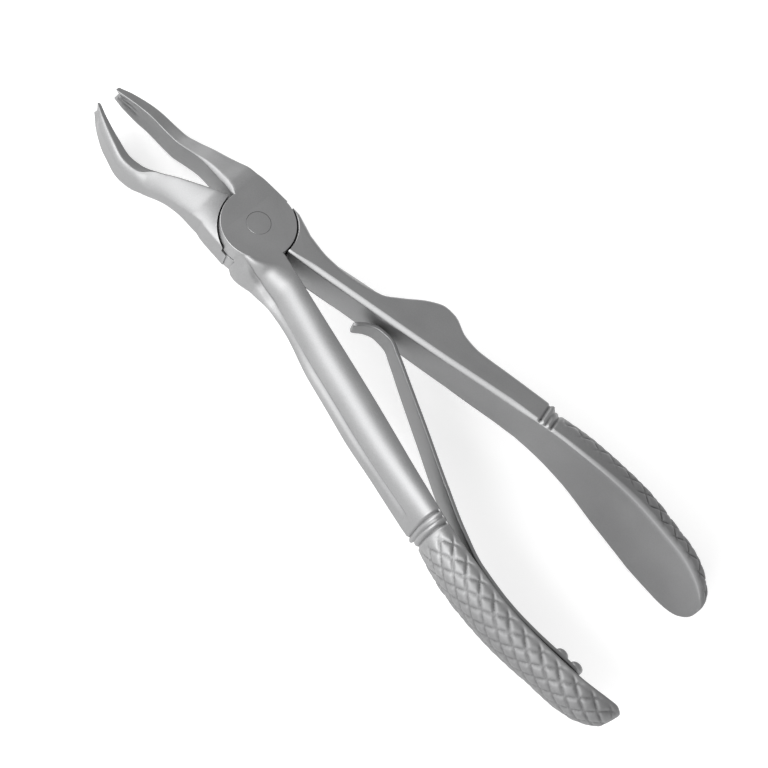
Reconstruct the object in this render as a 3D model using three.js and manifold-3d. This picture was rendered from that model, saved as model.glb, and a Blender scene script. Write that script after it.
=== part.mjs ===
// Dental extraction forceps with bayonet beaks, a lap joint and one leaf spring between the handles.
//
// Millimetres, +Z up. The origin is on the pivot axis at the joint's front face. +X runs towards the
// handle ends, +Y towards the rear lever's handle, and +Z out of the front face. The beaks reach towards
// -X and drop below the joint, as bayonet beaks do.
//
// Each lever is one forging: a half-thickness disc, a beak on one side of it and a handle on the other.
// The two levers cross at the disc, so the front lever has the +Y beak and the -Y handle.

import * as THREE from 'three';
import { mergeVertices } from 'three/addons/utils/BufferGeometryUtils.js';
import Module from 'manifold-3d';

const wasm = await Module();
wasm.setup();

// ---------- driving dimensions ----------

const jointThickness = 7.5;
const discRadius = 6.5;
const jointGap = 0.3;             // running gap around and between the two discs
const splitHeight = -jointThickness / 2;
const rivetRadius = 2.1;
const rivetGap = 0.15;

const handleStart = 1.5;          // distance from the pivot where a handle's body begins, inside the disc
const gripEnd = 97.8;             // before each grip is stretched
const frontStretch = 1.034;       // the front grip is a little longer than the rear one
const rearStretch = 0.961;
const beakTip = 36;
const faceGap = 0.45;             // half the gap between the two levers where they pass the disc

const ringAt = 56.9;              // middle of the collar between handle and grip
const ringPitch = 2.2;
const grooveDepth = 0.38;

const springThickness = 0.7;
const springRoot = 88.8;          // the strip's fixed end, before the grip is stretched
const springFoot = 73;            // where the strip leaves the handle's inner face
const springRest = 0.25;          // gap between the strip and what it rests on
const springRivets = [84.9, 87.9];
const springRivetHead = 1.25;
const springRivetShank = 0.65;

const cornerSteps = 4;

// ---------- helpers ----------

// A smooth curve that never overshoots through [station, value] pairs, held level outside them.
function along(keys) {
  const last = keys.length - 1;
  const slopes = [];
  for (let i = 0; i < last; i += 1) {
    slopes.push((keys[i + 1][1] - keys[i][1]) / (keys[i + 1][0] - keys[i][0]));
  }
  const tangents = keys.map((key, i) => {
    if (i === 0 || i === last || slopes[i - 1] * slopes[i] <= 0) return 0;
    return (2 * slopes[i - 1] * slopes[i]) / (slopes[i - 1] + slopes[i]);
  });
  tangents[0] = slopes[0];
  tangents[last] = slopes[last - 1];
  return (x) => {
    if (x <= keys[0][0]) return keys[0][1];
    if (x >= keys[last][0]) return keys[last][1];
    let i = 0;
    while (x > keys[i + 1][0]) i += 1;
    const span = keys[i + 1][0] - keys[i][0];
    const t = (x - keys[i][0]) / span;
    const rise = t * t * (3 - 2 * t);
    const bendIn = t * (1 - t) * (1 - t) * span;
    const bendOut = t * t * (t - 1) * span;
    return keys[i][1] * (1 - rise) + keys[i + 1][1] * rise + tangents[i] * bendIn + tangents[i + 1] * bendOut;
  };
}

// A closed body through rings of points, with a fan over each end.
function loft(rings) {
  const count = rings[0].length;
  const positions = rings.flat().flatMap((point) => [point.x, point.y, point.z]);
  const index = [];
  for (let r = 0; r + 1 < rings.length; r += 1) {
    for (let i = 0; i < count; i += 1) {
      const a = r * count + i;
      const b = r * count + ((i + 1) % count);
      index.push(a, b, b + count, a, b + count, a + count);
    }
  }
  for (const [ring, outward] of [[0, -1], [rings.length - 1, 1]]) {
    const centre = new THREE.Vector3();
    rings[ring].forEach((point) => centre.addScaledVector(point, 1 / count));
    const tip = positions.length / 3;
    positions.push(centre.x, centre.y, centre.z);
    for (let i = 0; i < count; i += 1) {
      const a = ring * count + i;
      const b = ring * count + ((i + 1) % count);
      index.push(...(outward > 0 ? [tip, a, b] : [tip, b, a]));
    }
  }
  const geometry = new THREE.BufferGeometry();
  geometry.setAttribute('position', new THREE.Float32BufferAttribute(positions, 3));
  geometry.setIndex(index);
  return geometry;
}

// A manifold body from a closed surface, whichever way round its triangles run.
function solid(geometry) {
  const bare = geometry.clone();
  bare.deleteAttribute('normal');
  bare.deleteAttribute('uv');
  const merged = mergeVertices(bare, 1e-4);
  const body = (triVerts) => new wasm.Manifold(new wasm.Mesh({
    numProp: 3,
    vertProperties: new Float32Array(merged.attributes.position.array),
    triVerts,
  }));
  const triangles = new Uint32Array(merged.index.array);
  const built = body(triangles);
  return built.volume() > 0 ? built : body(triangles.reverse());
}

function geometryOf(body) {
  const mesh = body.getMesh();
  const geometry = new THREE.BufferGeometry();
  geometry.setAttribute('position', new THREE.Float32BufferAttribute(mesh.vertProperties, 3));
  geometry.setIndex(Array.from(mesh.triVerts));
  geometry.computeVertexNormals();
  return geometry;
}

// A round bar along Z between two heights.
function disc(radius, low, high, segments = 64) {
  const geometry = new THREE.CylinderGeometry(radius, radius, high - low, segments);
  geometry.rotateX(Math.PI / 2);
  geometry.translate(0, 0, (low + high) / 2);
  return solid(geometry);
}

// ---------- a lever's cross-section ----------

// The section is a block with an inner face on one side. Its points are [outward, down]: outward is the
// distance from the inner face, and down the distance along that face from its top edge.
// top and bottom are { reach, round: [outward, down] }: how far the block reaches out at that edge, and
// the elliptical rounding of its outer corner. hollow sinks the middle of the inner face.
function section({ width, top, bottom, edge, hollow = 0 }) {
  const points = [];
  const corner = (outward, down, outwardRadius, downRadius, start) => {
    for (let i = 0; i <= cornerSteps; i += 1) {
      const angle = start + (i / cornerSteps) * (Math.PI / 2);
      points.push([outward + outwardRadius * Math.cos(angle), down + downRadius * Math.sin(angle)]);
    }
  };
  corner(edge, edge, edge, edge, Math.PI);
  corner(top.reach - top.round[0], top.round[1], top.round[0], top.round[1], -Math.PI / 2);
  corner(bottom.reach - bottom.round[0], width - bottom.round[1], bottom.round[0], bottom.round[1], 0);
  corner(edge, width - edge, edge, edge, Math.PI / 2);
  for (const part of [0.75, 0.5, 0.25]) {
    points.push([hollow * (1 - (2 * part - 1) ** 2), width * part]);
  }
  return points;
}

// ---------- handles ----------

const handleInner = along([[7, faceGap], [16, 2.5], [35, 6.8], [51.5, 10.9], [62, 13.2], [78, 15], [88, 14.5],
  [gripEnd, 12.7]]);
const handleBottom = along([[5, jointThickness], [20, 7.8], [40, 8.6], [54, 9.8], [64, 11.2], [80, 12.4],
  [86, 12.3]]);
const endTop = 4.8;               // how far the top and bottom edges come in at the rounded end
const endBottom = 6.7;
const gripCant = along([[54, 0], [64, 5], [74, 15], [84, 20]]);                // degrees, towards the front
const frontGripReach = along([[58, 4.2], [64, 5.1], [76, 6], [88, 6.1], [94.5, 4.9], [97, 3.2],
  [gripEnd, 1.5]]);
const rearGripReach = along([[58, 4.8], [64, 5.3], [76, 5.6], [88, 4.7], [94.5, 3.2], [97, 2.2],
  [gripEnd, 1.2]]);
const gripRound = along([[58, 3.3], [66, 3.2], [84, 3.2], [95, 1.8], [97, 1.2], [97.5, 0.8],
  [gripEnd, 0.3]]);
const bladeReach = along([[3, 6.5], [6, 5.6], [12.5, 3.6], [17.5, 3.1], [23, 3.6], [26, 5.2], [30.3, 7.9],
  [32.8, 8.7], [35, 8.3], [38.4, 6.1], [42, 5.1], [47, 4.8], [55, 4.4]]);      // front edge, with thumb rest
const backReach = along([[1.5, 6.3], [2.5, 6.85], [3.5, 7], [7, 6.3], [12, 5], [17, 4.7], [26, 5.4], [36, 5.4],
  [46, 4.6], [55, 3.9]]);
const sweepReach = along([[2, 5.6], [5, 5.5], [8, 5], [12, 4.3], [26, 4.7], [36, 4.7], [55, 3.6]]);
const sweepOutward = along([[2.4, 0.6], [4.2, 0.9], [6.2, 1.9], [8, 3.4], [12, 4.2], [40, 4.4], [54, 3.4]]);
const sweepDown = along([[2.4, 0.6], [4.2, 1.1], [6.2, 2.4], [8, 3.4], [12, 4.4], [54, 4.4]]);
const squareRound = 1;

// How far an edge has come in on its way round the grip's end, from 0 to 1.
function roundedIn(x, start, power) {
  const t = Math.max(0, (x - start) / (gripEnd - start));
  return 1 - (1 - t ** power) ** (1 / power);
}

function handleLower(x) {
  return endTop * roundedIn(x, 86, 2.3);
}

function handleWidth(x) {
  return handleBottom(x) - endBottom * roundedIn(x, 84, 2.6) - handleLower(x);
}

// Where a station lies once the grip beyond the collar is stretched.
function stretched(x, stretch) {
  return x > ringAt ? ringAt + (x - ringAt) * stretch : x;
}

// How fast the inner face moves away from the centre line. Sections stand square to it beyond the disc.
function handleSlope(x) {
  const settle = THREE.MathUtils.smoothstep(x, 8, 16);
  return settle * (handleInner(x + 1) - handleInner(x - 1)) / 2;
}

// Grooves on either side of the collar's bead.
function groove(x) {
  const offset = Math.abs(Math.abs(x - ringAt) - ringPitch / 2);
  return grooveDepth * Math.max(0, 1 - offset / 0.55);
}

// The outer edges of a handle's section, top and bottom. The front lever is rounded over in one broad sweep
// at the top and the rear lever at the bottom; the other edge is square. The grips are the same on both edges.
function handleEdges(x, sweptTop, gripReach) {
  const cut = groove(x);
  if (x > ringAt) {
    const grip = { reach: gripReach(x) - cut, round: [gripRound(x), 1.15 * gripRound(x)] };
    return { top: grip, bottom: grip };
  }
  const sweep = { reach: sweepReach(x) - cut, round: [sweepOutward(x), sweepDown(x)] };
  const squareReach = sweptTop ? backReach(x) : bladeReach(x);
  const square = { reach: squareReach - cut, round: [squareRound, squareRound] };
  return sweptTop ? { top: sweep, bottom: square } : { top: square, bottom: sweep };
}

// A handle's body. side is the sign of Y it lies on.
function handle({ side, sweptTop, gripReach, stretch }) {
  const stations = [];
  for (let x = handleStart; x < 10; x += 1.5) stations.push(x);
  for (let x = 10; x < 53; x += 2) stations.push(x);
  for (let i = -3; i <= 3; i += 1) stations.push(ringAt + i * (ringPitch / 4));
  for (let x = 59.5; x < 89; x += 3) stations.push(x);
  for (const fromEnd of [8.4, 6.5, 4.5, 2.8, 1.6, 0.8, 0.35, 0.1, 0]) stations.push(gripEnd - fromEnd);

  const rings = stations.map((x) => {
    const shape = section({
      width: handleWidth(x),
      ...handleEdges(x, sweptTop, gripReach),
      edge: 0.5,
    });
    const cant = THREE.MathUtils.degToRad(gripCant(x));
    const lean = Math.atan(handleSlope(x));
    return shape.map(([outward, down]) => {
      const depth = down + handleLower(x);
      const across = outward * Math.cos(cant) - depth * Math.sin(cant);
      return new THREE.Vector3(
        stretched(x, stretch) - across * Math.sin(lean),
        side * (handleInner(x) + across * Math.cos(lean)),
        -outward * Math.sin(cant) - depth * Math.cos(cant),
      );
    });
  });
  return solid(loft(rings));
}

// ---------- beaks ----------

const beakInner = along([[7, faceGap], [11, 1.5], [15.5, 2.65], [20, 3.5], [25.5, 4], [29, 3.6], [36, 1.9]]);
const beakTop = along([[4, 0], [6.5, 0], [8.5, -0.35], [11, -1.6], [15.5, -4.1], [19.5, -7.1], [23, -9.2],
  [25.5, -9.6], [29, -8.9], [36, -8.1]]);
const beakWidth = along([[6, jointThickness], [8, 7.2], [12, 6], [20, 5.7], [30, 5.7], [34, 4.4], [36, 3]]);
const beakReach = along([[0, 6.3], [5, 6.1], [8, 5.6], [11, 4.8], [15.5, 3.5], [20, 2.75], [28, 2.2], [34, 1.5],
  [36, 0.9]]);
const beakHollow = along([[25, 0], [31, 0.55], [34, 0.5], [36, 0.3]]);

// A beak's body, swept over on its top or bottom edge as the handles are.
function beak(side, swept) {
  const stations = [0, 1.5, 3, 5, 6.5, 8];
  for (let x = 9.5; x < 34; x += 1.5) stations.push(x);
  stations.push(34.4, 35.3, beakTip);
  const rings = stations.map((x) => {
    const reach = beakReach(x);
    const share = THREE.MathUtils.clamp((x - 5) / 5, 0, 1);
    const square = { reach, round: [0.3 * reach, 0.3 * reach] };
    const sweepDepth = Math.min(0.9 + 2.4 * share, 0.55 * beakWidth(x));
    const sweep = { reach, round: [reach * (0.3 + 0.6 * share), sweepDepth] };
    const shape = section({
      width: beakWidth(x),
      top: swept === 'top' ? sweep : square,
      bottom: swept === 'top' ? square : sweep,
      edge: Math.min(0.3, 0.25 * reach),
      hollow: beakHollow(x),
    });
    return shape.map(([outward, down]) => (
      new THREE.Vector3(-x, side * (beakInner(x) + outward), beakTop(x) - down)
    ));
  });
  return solid(loft(rings));
}

// ---------- spring ----------

const springWidth = along([[22.8, 3.2], [28, 4.4], [35, 5.4], [45, 6.1], [66, 6.8], [springRoot, 6.8]]);
const springHeight = along([[22.8, -4.4], [45, -4.5], [68, -5.6]]);
const springFree = [[67, -12.2], [61, -10.6], [54, -7.8], [44, -3.1], [36, 0.7], [31.4, 2.9], [28.6, 4],
  [26.4, 3.9], [24.4, 2.9], [22.8, 1.2]];

// A point over the middle of the front handle's inner face, lifted off it, with the face's normal.
function onInnerFace(x, lift) {
  const cant = THREE.MathUtils.degToRad(gripCant(x));
  const middle = handleWidth(x) / 2 + handleLower(x);
  const normal = new THREE.Vector3(0, Math.cos(cant), Math.sin(cant));
  const point = new THREE.Vector3(
    stretched(x, frontStretch),
    -handleInner(x) + middle * Math.sin(cant),
    -middle * Math.cos(cant),
  );
  return { point: point.addScaledVector(normal, lift), normal, cant };
}

function springBody() {
  const seated = [];
  for (let x = springRoot; x >= springFoot; x -= 4.5) {
    seated.push(onInnerFace(x, springRest + springThickness / 2).point);
  }
  const free = springFree.map(([x, y]) => new THREE.Vector3(x, y, springHeight(x)));
  const path = new THREE.CatmullRomCurve3([...seated, ...free], false, 'centripetal');
  const steps = 56;
  const rings = [];
  for (let i = 0; i <= steps; i += 1) {
    const t = i / steps;
    const point = path.getPointAt(t);
    const tangent = path.getTangentAt(t);
    const cant = THREE.MathUtils.degToRad(gripCant(point.x));
    const down = new THREE.Vector3(0, Math.sin(cant), -Math.cos(cant));
    const across = new THREE.Vector3().crossVectors(tangent, down).normalize();
    const wide = new THREE.Vector3().crossVectors(across, tangent).normalize();
    const half = springWidth(point.x) / 2;
    rings.push([[-half, -1], [half, -1], [half, 1], [-half, 1]].map(([shift, face]) => (
      point.clone().addScaledVector(wide, shift).addScaledVector(across, (face * springThickness) / 2)
    )));
  }
  return solid(loft(rings));
}

// ---------- rivets ----------

// A dome-headed rivet: the head is over the strip and the shank goes through it into the handle.
function springRivet(x, extra) {
  const depth = 4.2 + extra;
  const profile = [[0, -depth], [springRivetShank + extra, -depth], [springRivetShank + extra, 0]];
  if (extra === 0) {
    for (let i = 0; i <= 6; i += 1) {
      const angle = (i / 6) * (Math.PI / 2);
      profile.push([springRivetHead * Math.cos(angle), 0.95 * Math.sin(angle)]);
    }
    profile[profile.length - 1][0] = 0;
  } else {
    profile.push([springRivetShank + extra, 1.5], [0, 1.5]);
  }
  const geometry = new THREE.LatheGeometry(profile.map(([r, h]) => new THREE.Vector2(r, h)), 20);
  const seat = onInnerFace(x, 2 * springRest + springThickness);
  geometry.applyQuaternion(new THREE.Quaternion().setFromUnitVectors(new THREE.Vector3(0, 1, 0), seat.normal));
  geometry.translate(seat.point.x, seat.point.y, seat.point.z);
  return solid(geometry);
}

// ---------- the levers with their joint ----------

const frontTop = 0;
const frontBottom = splitHeight + jointGap / 2;
const backTop = splitHeight - jointGap / 2;
const backBottom = -jointThickness;
const clear = 4;                  // how far the cutting bodies run past the joint
const pivotHole = disc(rivetRadius + rivetGap, backBottom - clear, frontTop + clear, 48);

const frontLever = disc(discRadius, frontBottom, frontTop)
  .add(beak(1, 'bottom'))
  .add(handle({ side: -1, sweptTop: true, gripReach: frontGripReach, stretch: frontStretch }))
  .subtract(disc(discRadius + jointGap, backBottom - clear, frontBottom, 64))
  .subtract(pivotHole)
  .subtract(springRivet(springRivets[0], 0.2))
  .subtract(springRivet(springRivets[1], 0.2));

const rearLever = disc(discRadius, backBottom, backTop)
  .add(beak(-1, 'top'))
  .add(handle({ side: 1, sweptTop: false, gripReach: rearGripReach, stretch: rearStretch }))
  .subtract(disc(discRadius + jointGap, backTop, frontTop + clear, 64))
  .subtract(pivotHole);

const leafSpring = springBody()
  .subtract(springRivet(springRivets[0], 0.2))
  .subtract(springRivet(springRivets[1], 0.2));

// ---------- assembly ----------

const steel = { leverFront: '#8d8e90', leverRear: '#8b8c8e', spring: '#939496', rivet: '#8a8b8d' };

function piece(name, body, colour, roughness) {
  const material = new THREE.MeshStandardMaterial({ color: colour, roughness, metalness: 1 });
  const mesh = new THREE.Mesh(geometryOf(body), material);
  mesh.name = name;
  return mesh;
}

const forceps = new THREE.Group();
forceps.add(piece('front_lever', frontLever, steel.leverFront, 0.42));
forceps.add(piece('rear_lever', rearLever, steel.leverRear, 0.42));
forceps.add(piece('pivot_rivet', disc(rivetRadius, backBottom, frontTop, 48), steel.rivet, 0.4));
forceps.add(piece('leaf_spring', leafSpring, steel.spring, 0.36));
forceps.add(piece('spring_rivet_lower', springRivet(springRivets[0], 0), steel.rivet, 0.34));
forceps.add(piece('spring_rivet_upper', springRivet(springRivets[1], 0), steel.rivet, 0.34));

export default forceps;
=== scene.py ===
"""Looks of a pair of dental extraction forceps: two forged levers with knurled grips, a rivet, a leaf spring.

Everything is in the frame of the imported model. Sizes are in millimetres and turned into metres when a mesh
is made. Each lever is lofted finely, joined to its half of the lap joint, and carved. Curves along a lever
are given by distance from the pivot. The front lever's handle is on the -Y side and its beak on the +Y side.
"""

import math

import bmesh
import bpy
import numpy as np
from mathutils import Matrix, Vector


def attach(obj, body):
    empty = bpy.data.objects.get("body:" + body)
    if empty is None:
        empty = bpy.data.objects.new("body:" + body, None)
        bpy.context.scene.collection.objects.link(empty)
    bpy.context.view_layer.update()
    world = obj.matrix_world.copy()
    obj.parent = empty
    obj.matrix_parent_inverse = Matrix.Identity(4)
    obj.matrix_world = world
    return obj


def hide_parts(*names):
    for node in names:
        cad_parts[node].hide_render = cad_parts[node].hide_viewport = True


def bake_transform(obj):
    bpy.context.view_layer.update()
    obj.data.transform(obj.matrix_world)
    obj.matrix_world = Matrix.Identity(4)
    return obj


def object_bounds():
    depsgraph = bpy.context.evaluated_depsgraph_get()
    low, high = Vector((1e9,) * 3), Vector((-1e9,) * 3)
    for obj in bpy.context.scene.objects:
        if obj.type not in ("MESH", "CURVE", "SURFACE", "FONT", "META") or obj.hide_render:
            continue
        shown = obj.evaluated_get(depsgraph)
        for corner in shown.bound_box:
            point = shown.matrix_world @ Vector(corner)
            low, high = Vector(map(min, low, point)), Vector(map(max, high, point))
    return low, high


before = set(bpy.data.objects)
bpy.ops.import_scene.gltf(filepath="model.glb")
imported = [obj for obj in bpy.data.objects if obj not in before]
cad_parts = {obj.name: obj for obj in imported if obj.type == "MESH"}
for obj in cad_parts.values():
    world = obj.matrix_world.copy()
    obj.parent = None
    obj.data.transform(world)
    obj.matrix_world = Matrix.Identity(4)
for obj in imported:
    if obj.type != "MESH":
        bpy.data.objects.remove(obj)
cad_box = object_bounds()

MM = 0.001


# ---------- joint ----------

joint_thickness = 7.5
disc_radius = 6.5
joint_gap = 0.3                  # between the two halves, all round
split_height = -joint_thickness / 2
front_bottom = split_height + joint_gap / 2
back_top = split_height - joint_gap / 2
recess_radius = disc_radius + joint_gap
rim = 0.12                       # width of the small chamfer on the joint's edges
face_gap = 0.45                  # from the middle plane to each lever's inner face, beside the joint
rivet_radius = 2.1
rivet_edge = 0.05
rivet_gap = 0.03
ground_heights = (0, -joint_thickness)
ground_depth = 0.003             # points nearer than this to a ground face belong to it
sliver = 0.002                   # points nearer than this to each other are merged
nearly_level = 0.985             # least upward part of a face's normal for the face to count as level

# ---------- lengths along the levers, from the pivot ----------

handle_start = 1.5
ring_at = 56.9                   # middle of the collar
ring_pitch = 2.2                 # between the collar's two outer grooves
grip_end = 97.8                  # before each grip is stretched
front_stretch = 1.034            # the front grip is a little longer than the rear one
rear_stretch = 0.961
beak_tip = 36.0


def along(keys):
    """A smooth curve that never overshoots through (station, value) pairs, held level outside them."""
    xs, ys = np.array(keys, float).T
    slopes = np.diff(ys) / np.diff(xs)
    tangents = np.zeros(len(xs))
    tangents[0], tangents[-1] = slopes[0], slopes[-1]
    for i in range(1, len(xs) - 1):
        if slopes[i - 1] * slopes[i] > 0:
            tangents[i] = 2 * slopes[i - 1] * slopes[i] / (slopes[i - 1] + slopes[i])

    def curve(x):
        x = np.clip(np.asarray(x, float), xs[0], xs[-1])
        i = np.clip(np.searchsorted(xs, x) - 1, 0, len(xs) - 2)
        span = xs[i + 1] - xs[i]
        t = (x - xs[i]) / span
        rise = t * t * (3 - 2 * t)
        bend_in = t * (1 - t) ** 2 * span
        bend_out = t * t * (t - 1) * span
        return ys[i] * (1 - rise) + ys[i + 1] * rise + tangents[i] * bend_in + tangents[i + 1] * bend_out

    return curve


def smooth(x, low, high):
    """0 below low, 1 above high, and a smooth step between."""
    t = np.clip((np.asarray(x, float) - low) / (high - low), 0, 1)
    return t * t * (3 - 2 * t)


def bump(x, centre, half_width):
    """1 at the centre, falling smoothly to nearly 0 at twice the half width."""
    return np.exp(-(((x - centre) / half_width) ** 2))


# ---------- meshes ----------

def mesh_object(name, vertices, faces):
    """An object in the scene from points in millimetres, with every face turned outwards."""
    mesh = bpy.data.meshes.new(name)
    mesh.from_pydata([tuple(v) for v in np.asarray(vertices) * MM], [], faces)
    mesh.validate()
    obj = bpy.data.objects.new(name, mesh)
    bpy.context.scene.collection.objects.link(obj)
    edit = bmesh.new()
    edit.from_mesh(mesh)
    bmesh.ops.recalc_face_normals(edit, faces=edit.faces)      # makes them agree, but all may face inwards
    if edit.calc_volume(signed=True) < 0:
        bmesh.ops.reverse_faces(edit, faces=edit.faces)
    edit.to_mesh(mesh)
    edit.free()
    return obj


def loft(name, points):
    """A closed body through a grid of points, stations x ring, with a fan over each end."""
    stations, count, _ = points.shape
    faces = []
    for r in range(stations - 1):
        for i in range(count):
            j = (i + 1) % count
            faces.append((r * count + i, r * count + j, (r + 1) * count + j, (r + 1) * count + i))
    vertices = list(points.reshape(-1, 3))
    for ring in (0, stations - 1):
        vertices.append(points[ring].mean(0))
        tip = len(vertices) - 1
        faces += [(tip, ring * count + i, ring * count + (i + 1) % count) for i in range(count)]
    return mesh_object(name, vertices, faces)


def turned(name, profile, steps=128):
    """A body turned about Z from (radius, height) points that start and end on the axis."""
    angles = np.linspace(0, 2 * math.pi, steps, endpoint=False)
    ring = np.array([[(r * math.cos(a), r * math.sin(a), h) for a in angles] for r, h in profile[1:-1]])
    vertices = list(ring.reshape(-1, 3)) + [(0, 0, profile[0][1]), (0, 0, profile[-1][1])]
    low, high = len(vertices) - 2, len(vertices) - 1
    faces = []
    for r in range(len(ring) - 1):
        for i in range(steps):
            j = (i + 1) % steps
            faces.append((r * steps + i, r * steps + j, (r + 1) * steps + j, (r + 1) * steps + i))
    last = (len(ring) - 1) * steps
    faces += [(low, i, (i + 1) % steps) for i in range(steps)]
    faces += [(high, last + i, last + (i + 1) % steps) for i in range(steps)]
    return mesh_object(name, vertices, faces)


def combine(body, operation, others):
    """Joins the others to body or cuts them out of it, and removes them."""
    for other in others:
        modifier = body.modifiers.new(other.name, "BOOLEAN")
        modifier.operation = operation
        modifier.solver = "MANIFOLD"
        modifier.object = other
    depsgraph = bpy.context.evaluated_depsgraph_get()
    mesh = bpy.data.meshes.new_from_object(body.evaluated_get(depsgraph))
    body.modifiers.clear()
    body.data = mesh
    for other in others:
        bpy.data.objects.remove(other)


def on_ground(vertex, heights=ground_heights):
    """Whether a mesh point belongs to one of the joint's ground faces."""
    return any(abs(vertex.co.z - height * MM) < ground_depth * MM for height in heights)


def merge_flats(obj):
    """Clears slivers left by joining and cutting, and makes each ground face of the joint one flat again."""
    edit = bmesh.new()
    edit.from_mesh(obj.data)
    bmesh.ops.dissolve_degenerate(edit, dist=sliver * MM, edges=edit.edges)
    for height in ground_heights:
        level = [v for v in edit.verts if on_ground(v, [height])]
        for vertex in level:
            vertex.co.z = height * MM
        inside = set(level)
        edges = [e for e in edit.edges if e.verts[0] in inside and e.verts[1] in inside]
        bmesh.ops.dissolve_limit(edit, angle_limit=math.radians(0.5), use_dissolve_boundaries=False,
                                 verts=level, edges=edges)
    edit.to_mesh(obj.data)
    edit.free()


def level_normals(obj):
    """Shades the joint's ground faces as true planes, and lets gentle slopes run out of them smoothly."""
    mesh = obj.data
    normals = [corner.vector.copy() for corner in mesh.corner_normals]
    ground = [on_ground(v) for v in mesh.vertices]
    for polygon in mesh.polygons:
        if abs(polygon.normal.z) > nearly_level:
            for corner in polygon.loop_indices:
                if ground[mesh.loops[corner].vertex_index]:
                    normals[corner] = Vector((0, 0, math.copysign(1, polygon.normal.z)))
    mesh.normals_split_custom_set(normals)


def soften(obj, degrees):
    """Smooth shading that stays crisp over edges sharper than this."""
    for polygon in obj.data.polygons:
        polygon.use_smooth = True
    obj.data.set_sharp_from_angle(angle=math.radians(degrees))
    return obj


# ---------- cross-sections ----------

arc_steps = [7, 26, 26, 7]
flat_steps = [10, 22, 8, 14]
sweep_ends = sum(arc_steps[:2]) + flat_steps[0]                  # where the outer top corner ends
inner_face_from = sum(arc_steps[:3]) + sum(flat_steps[:3])       # where the inner bottom edge begins


def section(width, top_reach, bottom_reach, corners, hollow=0.0):
    """A ring of points at each station: distance out from the inner face, and distance down from its top.

    corners are inner top, outer top, outer bottom and inner bottom, each (outward, down, power): its size
    along both sides and its roundness, where 2 is round and 1 a flat chamfer.
    """
    def column(value):
        return np.broadcast_to(np.asarray(value, float), width.shape)[:, None]

    hollow_face = 3              # the inner face, which follows the last corner
    w, top, bottom = column(width), column(top_reach), column(bottom_reach)
    (ao, ad, ap), (bo, bd, bp), (co, cd, cp), (do, dd, dp) = [[column(v) for v in c] for c in corners]
    arcs = [                     # centre and size, each outward and down, then power and first angle
        (ao, ad, ao, ad, ap, 180),
        (top - bo, bd, bo, bd, bp, -90),
        (bottom - co, w - cd, co, cd, cp, 0),
        (do, w - dd, do, dd, dp, 90),
    ]
    outs, downs = [], []
    for (centre_out, centre_down, size_out, size_down, power, start), steps in zip(arcs, arc_steps):
        angle = np.radians(start + np.linspace(0, 90, steps))
        c, s = np.cos(angle), np.sin(angle)
        outs.append(centre_out + size_out * np.sign(c) * np.abs(c) ** (2 / power))
        downs.append(centre_down + size_down * np.sign(s) * np.abs(s) ** (2 / power))
    ring_out, ring_down = [], []
    for k, count in enumerate(flat_steps):
        after = (k + 1) % 4
        t = np.linspace(0, 1, count + 2)[1:-1]
        flat_out = outs[k][:, -1:] * (1 - t) + outs[after][:, :1] * t
        flat_down = downs[k][:, -1:] * (1 - t) + downs[after][:, :1] * t
        if k == hollow_face:
            flat_out = flat_out + column(hollow) * (1 - (2 * t - 1) ** 2)
        ring_out += [outs[k], flat_out]
        ring_down += [downs[k], flat_down]
    return np.hstack(ring_out), np.hstack(ring_down)


def raise_by(points, height, middle):
    """Moves the points of a loft along its outward normals by height."""
    along_body = np.gradient(points, axis=0)
    around = np.roll(points, -1, axis=1) - np.roll(points, 1, axis=1)
    normal = np.cross(along_body, around)
    normal /= np.maximum(np.linalg.norm(normal, axis=2, keepdims=True), 1e-9)
    outward = np.sum(normal * (points - middle), axis=2)
    normal *= np.sign(np.median(outward))
    return points + normal * height[..., None]


# ---------- handles ----------
#
# inner: from the centre line out to the inner face. bottom: depth of that face's bottom edge. reach: from
# the inner face to the far side of the top or the bottom. sweep: the broad rounding, a corner of that size.

handle_inner = along([(7, face_gap), (16, 2.5), (35, 6.8), (51.5, 10.9), (62, 13.2), (78, 15), (88, 14.5),
                      (grip_end, 12.7)])
handle_bottom = along([(5, joint_thickness), (20, 7.8), (40, 8.6), (54, 9.8), (64, 11.2), (80, 12.4),
                       (86, 12.3)])
end_top = 4.8                    # how far the top and bottom edges come in at the rounded end
end_bottom = 6.7
end_round = 1.6                  # length over which each grip's end is rounded in from both faces
grip_cant = along([(54, 0), (64, 5), (74, 15), (84, 20)])
front_grip_reach = along([(58, 4.2), (64, 5.1), (76, 6), (88, 6.1), (92, 5.9), (94.5, 5.3), (96.3, 4.4),
                          (97.2, 3.4), (grip_end, 2.2)])
rear_grip_reach = along([(58, 4.8), (64, 5.3), (76, 5.6), (88, 4.7), (94.5, 3.2), (97, 2.2), (grip_end, 1.2)])
grip_round = along([(58, 3.3), (66, 3.2), (84, 3.2), (95, 1.8), (97, 1.2), (97.5, 0.8),
                    (grip_end, 0.3)])
# The rear handle's top has the hump of the thumb rest. The front handle's bottom swells beside the joint.
blade_reach = along([(3, 6.5), (6, 5.6), (12.5, 3.6), (17.5, 3.1), (23, 3.6), (26, 5.2), (30.3, 7.9),
                     (32.8, 8.7), (35, 8.3), (38.4, 6.1), (42, 5.1), (47, 4.8), (55, 4.4)])
back_reach = along([(1.5, 6.3), (2.5, 6.85), (3.5, 7), (7, 6.3), (12, 5), (17, 4.7), (26, 5.4), (36, 5.4),
                    (46, 4.6), (55, 3.9)])
sweep_reach = along([(2, 5.6), (5, 5.5), (8, 5), (12, 4.3), (26, 4.7), (36, 4.7), (55, 3.6)])
sweep_out = along([(2.4, 0.6), (4.2, 0.9), (6.2, 1.9), (8, 3.4), (12, 4.2), (40, 4.4), (54, 3.4)])
sweep_down = along([(2.4, 0.6), (4.2, 1.2), (6.2, 2.9), (8, 4.0), (12, 5), (54, 5)])
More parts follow.
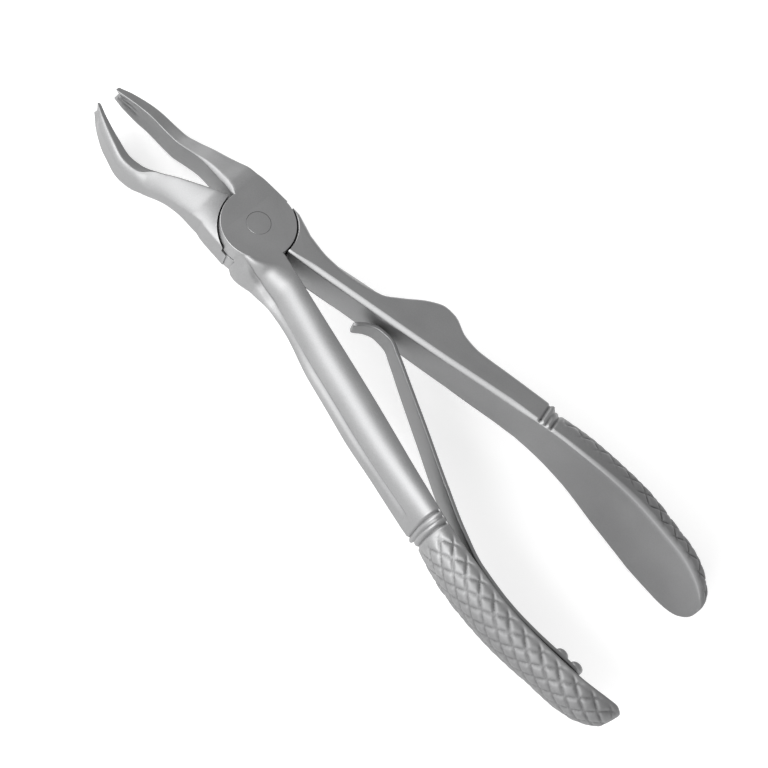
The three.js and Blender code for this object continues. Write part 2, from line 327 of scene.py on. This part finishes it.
strip_width = along([(8, 0.45), (12, 0.8), (50, 0.85), (56, 0.6), (62, 0.55), (90, 0.8), (97, 0.6)])

edge_front = 0.28                # rounding of the front handle's inner top edge
edge_back = 0.5                  # rounding of both handles' inner bottom edges
top_flat = 0.04                  # least width of the front handle's top between its corners
back_flat = 0.06                 # and of a grip's back

knurl_pitch = 2.3
knurl_depth = 0.32
knurl_angle = math.radians(41)
knurl_cut = 0.23                 # half width of a groove's narrow cut
knurl_shoulder = 0.6             # and of its soft shoulders
groove_depth = 0.34              # of the three grooves in a collar
groove_half_width = 0.28
bead_height = 0.12               # the whole collar stands this much proud
crease_depth = 0.42              # of the front handle's crease, below its broad rounding
crease_end = 54.5


def rounded_in(x, start, power):
    """How far an edge has come in on its way round the grip's end, from 0 to 1."""
    t = np.clip((x - start) / (grip_end - start), 0, 1)
    return 1 - (1 - t ** power) ** (1 / power)


def handle_lower(x):
    """How far a handle's top edge has come down from the joint's face."""
    return end_top * rounded_in(x, 86, 2.3)


def handle_width(x):
    """The height of a handle's inner face."""
    return handle_bottom(x) - end_bottom * rounded_in(x, 84, 2.6) - handle_lower(x)


def handle_slope(x):
    """How steeply the inner face runs away from the centre line, kept level beside the joint."""
    return smooth(x, 8, 16) * (handle_inner(x + 1) - handle_inner(x - 1)) / 2


def place_on_handle(x, side, outward, down):
    """Points in the row frame, from distances along a handle, out from its inner face and down that face."""
    cant = np.radians(grip_cant(x))
    lean = np.arctan(handle_slope(x))
    depth = down + handle_lower(x)
    across = outward * np.cos(cant) - depth * np.sin(cant)
    z = -outward * np.sin(cant) - depth * np.cos(cant)
    stretch = front_stretch if side < 0 else rear_stretch
    reached = np.where(x > ring_at, ring_at + (x - ring_at) * stretch, x)
    return np.stack([reached - across * np.sin(lean), side * (handle_inner(x) + across * np.cos(lean)), z],
                    axis=-1)


def knurl(u, s):
    """Grooves that cross to leave raised diamonds: 0 on a diamond's top, 1 at the bottom of a groove."""
    grooves = []
    for turn in (1, -1):
        phase = (u * math.sin(knurl_angle) + turn * s * math.cos(knurl_angle)) / knurl_pitch
        off = np.abs(phase - np.round(phase)) * knurl_pitch
        grooves.append(0.7 * bump(off, 0, knurl_cut) + 0.3 * bump(off, 0, knurl_shoulder))
    return np.maximum(grooves[0], grooves[1])


def handle(name, side, swept_top, grip_reach):
    """A handle's body, with its collar, its knurled grip and, on the front lever, the crease.

    The front handle is rounded over in one broad sweep at its top, the rear one at its bottom.
    """
    x = np.concatenate([
        np.arange(handle_start, 12, 0.3),
        np.arange(12, 54.6, 0.7),
        np.arange(54.6, 59.2, 0.1),
        np.arange(59.2, grip_end - 0.9, 0.19),
        grip_end - 0.9 * (1 - np.sin(np.linspace(0, math.pi / 2, 14))),
    ])
    on_grip = smooth(x, ring_at - 0.3, ring_at + 0.3)      # the section changes under the collar

    def join(before_collar, beyond_collar):
        return before_collar * (1 - on_grip) + beyond_collar * on_grip

    reach = grip_reach(x)
    round_out = np.minimum(grip_round(x), reach - edge_back - back_flat)
    round_down = 1.15 * grip_round(x)
    square = (join(1, round_out), join(1, round_down), 2)
    if swept_top:
        broad_out = np.minimum(sweep_out(x), sweep_reach(x) - edge_front - top_flat)
        sweep = (join(broad_out, 0.8 * reach), join(sweep_down(x), 0.5 * handle_width(x)), 2)
        top, bottom = join(sweep_reach(x), reach), join(back_reach(x), reach)
        corners = [(edge_front, edge_front, 2), sweep, square, (edge_back, edge_back, 2)]
    else:
        sweep = (join(sweep_out(x), grip_round(x)), join(sweep_down(x), round_down), 2)
        top, bottom = join(blade_reach(x), reach), join(sweep_reach(x), reach)
        corners = [(strip_width(x), strip_width(x), 1.25), square, sweep, (edge_back, edge_back, 2)]
    out, down = section(handle_width(x), top, bottom, corners)

    u = x[:, None]
    from_end = 1 - np.clip((grip_end - u) / end_round, 0, 1)
    out_middle = (out.max(1, keepdims=True) + out.min(1, keepdims=True)) / 2
    out = out_middle + (out - out_middle) * np.sqrt(1 - 0.97 * from_end ** 2)
    points = place_on_handle(u, side, out, down)
    middle = place_on_handle(u, side, out.mean(1, keepdims=True), down.mean(1, keepdims=True))

    # s is the distance round the section from the inner top edge, and wrap is its value where the inner
    # face begins, so the relief can be kept off that face. The knurling starts lower on the rear grip.
    step = np.linalg.norm(np.diff(points, axis=1), axis=2)
    s = np.hstack([np.zeros((len(x), 1)), np.cumsum(step, axis=1)])
    wrap = s[:, inner_face_from:inner_face_from + 1]
    plain = 0.5 if swept_top else 1.6 - smooth(u, 70, 84)
    outside = smooth(s, plain, 2.2 * plain + 0.4) * smooth(wrap - s, 0.6, 1.8)
    over_top = smooth(s, 0.2, 0.6) * smooth(wrap - s, 0.2, 0.9)

    grooves = sum(bump(u, ring_at + k * ring_pitch / 2, groove_half_width) for k in (-1, 0, 1))
    relief = over_top * (bead_height * bump(u, ring_at, 0.9) - groove_depth * grooves)
    knurled = smooth(u, 58.7, 59.9) * smooth(grip_end - u, 0.3, 1.4) * outside
    relief = relief - knurl_depth * knurled * knurl(u, s)
    if swept_top:
        from_crease = s - s[:, sweep_ends:sweep_ends + 1]
        fade = smooth(u, 2.6, 6) * smooth(crease_end - u, 0, 3)
        steep_above = np.where(from_crease < 0, bump(from_crease, 0, 0.45), bump(from_crease, 0, 0.9))
        relief = relief - crease_depth * fade * steep_above
    return loft(name, raise_by(points, relief, middle))


# ---------- beaks ----------

beak_inner = along([(7, face_gap), (11, 1.5), (15.5, 2.65), (20, 3.5), (25.5, 4), (29, 3.6), (36, 1.9)])
beak_top = along([(4, 0), (6.5, 0), (8.5, -0.35), (11, -1.6), (15.5, -4.1), (19.5, -7.1), (23, -9.2),
                  (25.5, -9.6), (29, -8.9), (36, -8.1)])
beak_width = along([(6, joint_thickness), (8, 7.2), (12, 6), (20, 5.7), (30, 5.7), (34, 4.4), (36, 3)])
beak_reach = along([(0, 6.3), (5, 6.1), (8, 5.6), (11, 4.8), (15.5, 3.5), (20, 2.75), (28, 2.2), (34, 1.5),
                    (36, 0.9)])
beak_hollow = along([(25, 0), (31, 0.55), (34, 0.5), (36, 0.3)])
notch_depth = 1.1                # the hollow bite out of a tip's end
flute_depth = 0.16               # of the three flutes inside a tip
flute_half_width = 0.16


def beak(name, side, swept_top):
    """A beak's body, with its tip notched and fluted.

    The rear beak is rounded over at its top, and beyond its bend it has two facets that meet in a narrow
    ridge. The front beak is flat on top, with a chamfered inner edge.
    """
    x = np.concatenate([np.arange(0, 9, 0.3), np.arange(9, 30, 0.3), np.arange(30, beak_tip + 0.01, 0.15)])
    reach = beak_reach(x)
    width = beak_width(x)
    edge = np.minimum(0.3, 0.25 * reach)
    square_round = 0.25 + (0.3 * reach - 0.25) * smooth(x, 6, 15)
    square = (square_round, square_round, 2)
    if swept_top:
        bend = smooth(x, 19.5, 22.5)
        top_facet = reach * (0.62 - 0.17 * smooth(x, 22, 34))
        inner_top = (edge + (top_facet - edge) * bend, edge + 0.05 * bend, 2 - 0.8 * bend)
        outer_size = 0.93 * reach * (1 - bend) + (reach - top_facet) * bend
        outer_top = (outer_size, 2.7 - 0.7 * bend, 1.4 + 0.3 * bend)
        outer_bottom = square
    else:
        share = np.clip((x - 5) / 5, 0, 1)
        ridge = 0.12 + 0.6 * smooth(x, 6, 8) * (1 - smooth(x, 11, 19))
        inner_top = (ridge, ridge, 1.3)
        outer_top = square
        outer_bottom = (reach * (0.3 + 0.6 * share), np.minimum(0.9 + 2.4 * share, 0.55 * width), 2)
    out, down = section(width, reach, reach, [inner_top, outer_top, outer_bottom, (edge, edge, 2)],
                        beak_hollow(x))
    u = x[:, None]
    part = down / width[:, None]
    notch = notch_depth * smooth(u, 33, beak_tip) * (1 - (2 * part - 1) ** 2)

    def place(outward, downward, cut):
        across = side * (beak_inner(u) + outward)
        return np.stack([cut - u + 0 * outward, across, beak_top(u) - downward], axis=-1)

    points = place(out, down, notch)
    middle = place(out.mean(1, keepdims=True), down.mean(1, keepdims=True), 0)
    inner_face = (np.arange(out.shape[1]) >= inner_face_from)[None, :]
    flutes = sum(bump(down, at * width[:, None], flute_half_width) for at in (0.3, 0.5, 0.7))
    relief = -flute_depth * inner_face * smooth(u, 30.5, 32.5) * flutes
    return loft(name, raise_by(points, relief, middle))


# ---------- levers ----------

clear = 4.0                      # how far the cutters reach past the joint's faces
cutter_top = clear
cutter_bottom = -joint_thickness - clear
cutter_flare = recess_radius + rim + clear
face_chamfer = 0.06
split_chamfer = 0.02


def joint_disc(name, low, high, top_chamfer, bottom_chamfer):
    return turned(name, [
        (0, low), (disc_radius - bottom_chamfer, low), (disc_radius, low + bottom_chamfer),
        (disc_radius, high - top_chamfer), (disc_radius - top_chamfer, high), (0, high)])


def pivot_hole():
    radius = rivet_radius + rivet_gap
    return turned("hole", [(0, cutter_bottom), (radius, cutter_bottom), (radius, cutter_top),
                           (0, cutter_top)])


front = joint_disc("front_lever_body", front_bottom, 0, face_chamfer, split_chamfer)
combine(front, "UNION", [beak("beak", 1, False), handle("handle", -1, True, front_grip_reach)])
combine(front, "DIFFERENCE", [
    turned("recess", [(0, cutter_bottom), (cutter_flare, cutter_bottom),
                      (recess_radius, -joint_thickness + rim), (recess_radius, front_bottom),
                      (0, front_bottom)]),
    pivot_hole(),
])

rear = joint_disc("rear_lever_body", -joint_thickness, back_top, split_chamfer, face_chamfer)
combine(rear, "UNION", [beak("beak", -1, True), handle("handle", 1, False, rear_grip_reach)])
combine(rear, "DIFFERENCE", [
    turned("recess", [(0, back_top), (recess_radius, back_top), (recess_radius, -rim),
                      (cutter_flare, cutter_top), (0, cutter_top)]),
    pivot_hole(),
])

for lever in (front, rear):
    merge_flats(lever)
    soften(lever, 38)
    level_normals(lever)

# ---------- spring ----------

spring_thickness = 0.7
spring_edge = 0.24               # rounding of the strip's long edges
spring_root = 88.8               # the strip lies along the grip from here
spring_foot = 73.0               # and leaves it here
spring_rest = 0.25               # gap under the strip where it lies along the grip
spring_rivets = [84.9, 87.9]
head_radius = 1.2
head_height = 0.8
head_brim = 0.12
head_sunk = 0.4
tip_round = 0.8                  # length over which the strip's free end narrows
root_round = 2.4                 # and its root
spring_width = along([(22.8, 3.2), (28, 4.4), (35, 5.4), (45, 6.1), (66, 6.8), (spring_root, 6.8)])
spring_height = along([(22.8, -4.4), (45, -4.5), (68, -5.6)])
# The free stretch, as points seen from above: across to the rear handle, then curled back at its end.
spring_free = [(67, -12.2), (61, -10.6), (54, -7.8), (44, -3.1), (36, 0.7), (31.4, 2.9), (28.6, 4),
               (26.4, 3.9), (24.4, 2.9), (22.8, 1.2)]


def over_inner_face(x, lift):
    """A point over the middle of the front handle's inner face, and the face's normal."""
    cant = np.radians(grip_cant(x))
    middle = handle_width(x) / 2 + handle_lower(x)
    normal = np.array([0.0, np.cos(cant), np.sin(cant)])
    reached = ring_at + (x - ring_at) * front_stretch
    point = np.array([reached, -handle_inner(x) + middle * np.sin(cant), -middle * np.cos(cant)])
    return point + lift * normal, normal


def leaf_spring():
    """The strip: along the front grip from its riveted root, then free across to the rear handle."""
    seated = [over_inner_face(x, spring_rest + spring_thickness / 2)[0]
              for x in np.arange(spring_root, spring_foot - 0.1, -4.5)]
    free = [np.array([x, y, spring_height(x)]) for x, y in spring_free]
    keys = np.array(seated + free)
    reached = np.concatenate([[0], np.cumsum(np.linalg.norm(np.diff(keys, axis=0), axis=1))])
    lengths = np.linspace(0, reached[-1], 300)
    centre = np.stack([along(np.stack([reached, keys[:, k]], 1))(lengths) for k in range(3)], 1)
    for _ in range(6):
        centre[1:-1] = (centre[:-2] + 2 * centre[1:-1] + centre[2:]) / 4
    tangent = np.gradient(centre, axis=0)
    tangent /= np.linalg.norm(tangent, axis=1, keepdims=True)
    cant = np.radians(grip_cant(centre[:, 0]))
    down = np.stack([0 * cant, np.sin(cant), -np.cos(cant)], 1)
    across = np.cross(tangent, down)
    across /= np.linalg.norm(across, axis=1, keepdims=True)
    wide = np.cross(across, tangent)
    to_tip = 1 - np.clip((reached[-1] - lengths) / tip_round, 0, 1)
    to_root = 1 - np.clip(lengths / root_round, 0, 1)
    narrowed = np.sqrt((1 - 0.35 * to_tip ** 2) * (1 - 0.8 * to_root ** 2))
    half_width = spring_width(centre[:, 0]) / 2 * narrowed

    outline = []
    for shift, face, start in ((1, 1, 0), (-1, 1, 90), (-1, -1, 180), (1, -1, 270)):
        for angle in np.radians(start + np.linspace(0, 90, 6)):
            outline.append((shift, face, spring_edge * math.cos(angle), spring_edge * math.sin(angle)))
    rings = np.stack([
        centre
        + wide * (shift * (half_width - spring_edge) + along_width)[:, None]
        + across * (face * (spring_thickness / 2 - spring_edge) + through)
        for shift, face, along_width, through in outline
    ], axis=1)
    return soften(loft("leaf_spring_strip", rings), 50)


def rivet_head(name, x):
    """A domed head with a short upright brim, sunk a little into the strip."""
    profile = [(0, -head_sunk), (head_radius, -head_sunk), (head_radius, head_brim)]
    profile += [(head_radius * math.cos(a), head_brim + head_height * math.sin(a))
                for a in np.linspace(0.12, 1.45, 12)]
    head = turned(name, profile + [(0, head_brim + head_height)], 48)
    point, normal = over_inner_face(x, spring_rest + spring_thickness)
    turn = Vector((0, 0, 1)).rotation_difference(Vector(normal)).to_matrix().to_4x4()
    head.data.transform(Matrix.Translation(Vector(point) * MM) @ turn)
    return soften(head, 35)


spring = leaf_spring()
heads = [rivet_head(f"spring_rivet_head_{i}", x) for i, x in enumerate(spring_rivets)]

pin = turned("pivot_pin", [
    (0, -joint_thickness), (rivet_radius - rivet_edge, -joint_thickness),
    (rivet_radius, -joint_thickness + rivet_edge), (rivet_radius, -rivet_edge),
    (rivet_radius - rivet_edge, 0), (0, 0)])
soften(pin, 25)

# ---------- steel ----------


def steel(name, tone, roughness, grain, brushed, grip_shade_and_dulling=0.0):
    """Satin steel: a fine matt grain and faint streaks from finishing, with a painted highlight on its edges,
    which are also a little smoother, and painted shade in its hollows and grooves.

    tone is how much light it reflects. grain and brushed are the strengths of the grain and the streaks.
    Beyond the collars the grips get painted shade and a duller finish, both set by the last argument.
    """
    material = bpy.data.materials.new(name)
    material.use_nodes = True
    nodes, links = material.node_tree.nodes, material.node_tree.links
    shader = nodes["Principled BSDF"]
    shader.inputs["Metallic"].default_value = 1.0

    place = nodes.new("ShaderNodeTexCoord").outputs["Object"]

    def noise(scale, detail, stretch=(1, 1, 1)):
        mapping = nodes.new("ShaderNodeMapping")
        mapping.inputs["Scale"].default_value = stretch
        links.new(place, mapping.inputs["Vector"])
        texture = nodes.new("ShaderNodeTexNoise")
        texture.inputs["Scale"].default_value = scale
        texture.inputs["Detail"].default_value = detail
        links.new(mapping.outputs["Vector"], texture.inputs["Vector"])
        return texture.outputs["Fac"]

    def remap(value, low, high, to_low, to_high):
        node = nodes.new("ShaderNodeMapRange")
        for key, number in (("From Min", low), ("From Max", high), ("To Min", to_low), ("To Max", to_high)):
            node.inputs[key].default_value = number
        links.new(value, node.inputs["Value"])
        return node.outputs["Result"]

    def blend(kind, a, b):
        node = nodes.new("ShaderNodeMath")
        node.operation = kind
        for socket, value in zip(node.inputs, (a, b)):
            if isinstance(value, (int, float)):
                socket.default_value = value
            else:
                links.new(value, socket)
        return node.outputs[0]

    patches = noise(160, 4)                        # scales are per metre
    fine = noise(5200, 3)
    streaks = noise(900, 4, (0.12, 1, 1))          # drawn out along the levers

    position = nodes.new("ShaderNodeSeparateXYZ")
    links.new(place, position.inputs["Vector"])
    # Painted shade on the grips: their colour darkens from 1 mm before the collar to 16 mm past it and stays
    # so; the same mask makes them rougher.
    grip_shade_and_dull = remap(position.outputs["X"], (ring_at - 1) * MM, (ring_at + 16) * MM, 0.0, grip_shade_and_dulling)

    # Pointiness is 0.5 on a flat, more on an edge and less in a groove.
    pointiness = nodes.new("ShaderNodeNewGeometry").outputs["Pointiness"]
    edges = remap(pointiness, 0.5, 0.56, 0.0, 1.0)
    hollow_shade = remap(pointiness, 0.44, 0.495, 1.0, 0.0)
    value = blend("ADD", remap(patches, 0.35, 0.65, tone * 0.97, tone * 1.03),
                  remap(fine, 0.35, 0.65, -0.05 * tone, 0.05 * tone))
    # Painted highlight: convex edges get a lighter colour (their lower roughness is set further down).
    value = blend("ADD", value, blend("MULTIPLY", edges, 0.12 * tone))
    # Painted shade: hollows, grooves and creases get a darker colour.
    value = blend("SUBTRACT", value, blend("MULTIPLY", hollow_shade, 0.55 * tone))
    # Painted shade on the grips beyond the collar.
    value = blend("MULTIPLY", value, blend("SUBTRACT", 1.0, grip_shade_and_dull))
    colour = nodes.new("ShaderNodeCombineColor")
    for channel, tint in (("Red", 0.995), ("Green", 0.998), ("Blue", 1.007)):
        links.new(blend("MULTIPLY", value, tint), colour.inputs[channel])
    links.new(colour.outputs["Color"], shader.inputs["Base Color"])

    rough = blend("ADD", remap(fine, 0.3, 0.7, roughness - 0.03, roughness + 0.03),
                  remap(patches, 0.3, 0.7, -0.02, 0.02))
    rough = blend("SUBTRACT", rough, blend("MULTIPLY", edges, 0.05))
    rough = blend("ADD", rough, blend("MULTIPLY", grip_shade_and_dull, 0.7))
    links.new(rough, shader.inputs["Roughness"])

    surface = blend("ADD", blend("MULTIPLY", fine, grain), blend("MULTIPLY", streaks, brushed))
    relief = nodes.new("ShaderNodeBump")
    relief.inputs["Strength"].default_value = 0.35
    relief.inputs["Distance"].default_value = 0.02 * MM
    links.new(surface, relief.inputs["Height"])
    links.new(relief.outputs["Normal"], shader.inputs["Normal"])
    return material


# The last number sets the grips' painted shade and their dulling.
lever_steel = steel("lever_steel", 0.29, 0.5, 1.0, 0.35, 0.2)
spring_steel = steel("spring_steel", 0.23, 0.44, 0.6, 0.9)
rivet_steel = steel("rivet_steel", 0.29, 0.46, 0.7, 0.3)

pieces = [                       # object, body it rides, nodes it replaces, slot and material
    (front, "front_lever", ["front_lever"], "lever_steel", lever_steel),
    (rear, "rear_lever", ["rear_lever"], "lever_steel", lever_steel),
    (pin, "front_lever", ["pivot_rivet"], "rivet_steel", rivet_steel),
    (heads[0], "front_lever", ["spring_rivet_lower"], "rivet_steel", rivet_steel),
    (heads[1], "front_lever", ["spring_rivet_upper"], "rivet_steel", rivet_steel),
    (spring, None, ["leaf_spring"], "spring_steel", spring_steel),
]
for obj, body, nodes, slot, material in pieces:
    for surface in [obj] + [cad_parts[node] for node in nodes]:
        surface.data.materials.clear()
        surface.data.materials.append(material)
    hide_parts(*nodes)
    if body:
        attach(obj, body)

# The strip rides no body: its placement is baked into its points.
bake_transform(spring)

# ---------- floor, light and camera ----------

floor_reach = 3.0
floor_height = cad_box[0].z - 0.1 * MM
floor_glow = 0.34                # keeps the shadow soft and the floor nearly white
floor_corners = [(x * floor_reach, y * floor_reach) for x, y in ((-1, -1), (1, -1), (1, 1), (-1, 1))]

floor_mesh = bpy.data.meshes.new("floor")
floor_mesh.from_pydata([(x, y, floor_height) for x, y in floor_corners], [], [(0, 1, 2, 3)])
floor = bpy.data.objects.new("floor", floor_mesh)
bpy.context.scene.collection.objects.link(floor)
floor_material = bpy.data.materials.new("floor")
floor_material.use_nodes = True
floor_shader = floor_material.node_tree.nodes["Principled BSDF"]
floor_shader.inputs["Base Color"].default_value = (0.9, 0.9, 0.9, 1)
floor_shader.inputs["Roughness"].default_value = 0.9
floor_shader.inputs["Specular IOR Level"].default_value = 0.0
floor_shader.inputs["Emission Color"].default_value = (1, 1, 1, 1)
floor_shader.inputs["Emission Strength"].default_value = floor_glow
floor_mesh.materials.append(floor_material)

centre = (cad_box[0] + cad_box[1]) / 2


def area_light(name, direction, distance, size, power):
    """A soft box that faces the middle of the object from a direction; size in metres, power in watts."""
    data = bpy.data.lights.new(name, "AREA")
    data.shape = "RECTANGLE"
    data.size, data.size_y = size
    data.energy = power
    light = bpy.data.objects.new(name, data)
    bpy.context.scene.collection.objects.link(light)
    away = Vector(direction).normalized()
    light.location = centre + away * distance
    light.rotation_euler = away.to_track_quat("Z", "Y").to_euler()


area_light("key", (-0.12, -0.88, 0.46), 0.9, (0.8, 0.7), 8.2)
area_light("side", (-0.9, -0.25, 0.36), 0.8, (0.7, 0.6), 4.4)

world = bpy.data.worlds.new("studio")
world.use_nodes = True
surround = world.node_tree.nodes["Background"]
surround.inputs["Color"].default_value = (1, 1, 1, 1)
surround.inputs["Strength"].default_value = 0.66
bpy.context.scene.world = world
bpy.context.scene.view_settings.view_transform = "Standard"

# The camera looks down from in front, turned so that the beaks point up and to the left.
eye = Vector((87.58, -173.31, 349.70)) * MM
right = Vector((0.68435, 0.69165, 0.23084))
up = Vector((-0.71637, 0.57874, 0.38972))
back = -Vector((-0.13595, 0.43207, -0.89153))
camera_data = bpy.data.cameras.new("camera")
camera_data.sensor_width = 36
camera_data.lens = 112.5
camera_data.clip_start = 0.01
camera = bpy.data.objects.new("camera", camera_data)
bpy.context.scene.collection.objects.link(camera)
camera.matrix_world = Matrix.Translation(eye) @ Matrix((right, up, back)).transposed().to_4x4()
bpy.context.scene.camera = camera
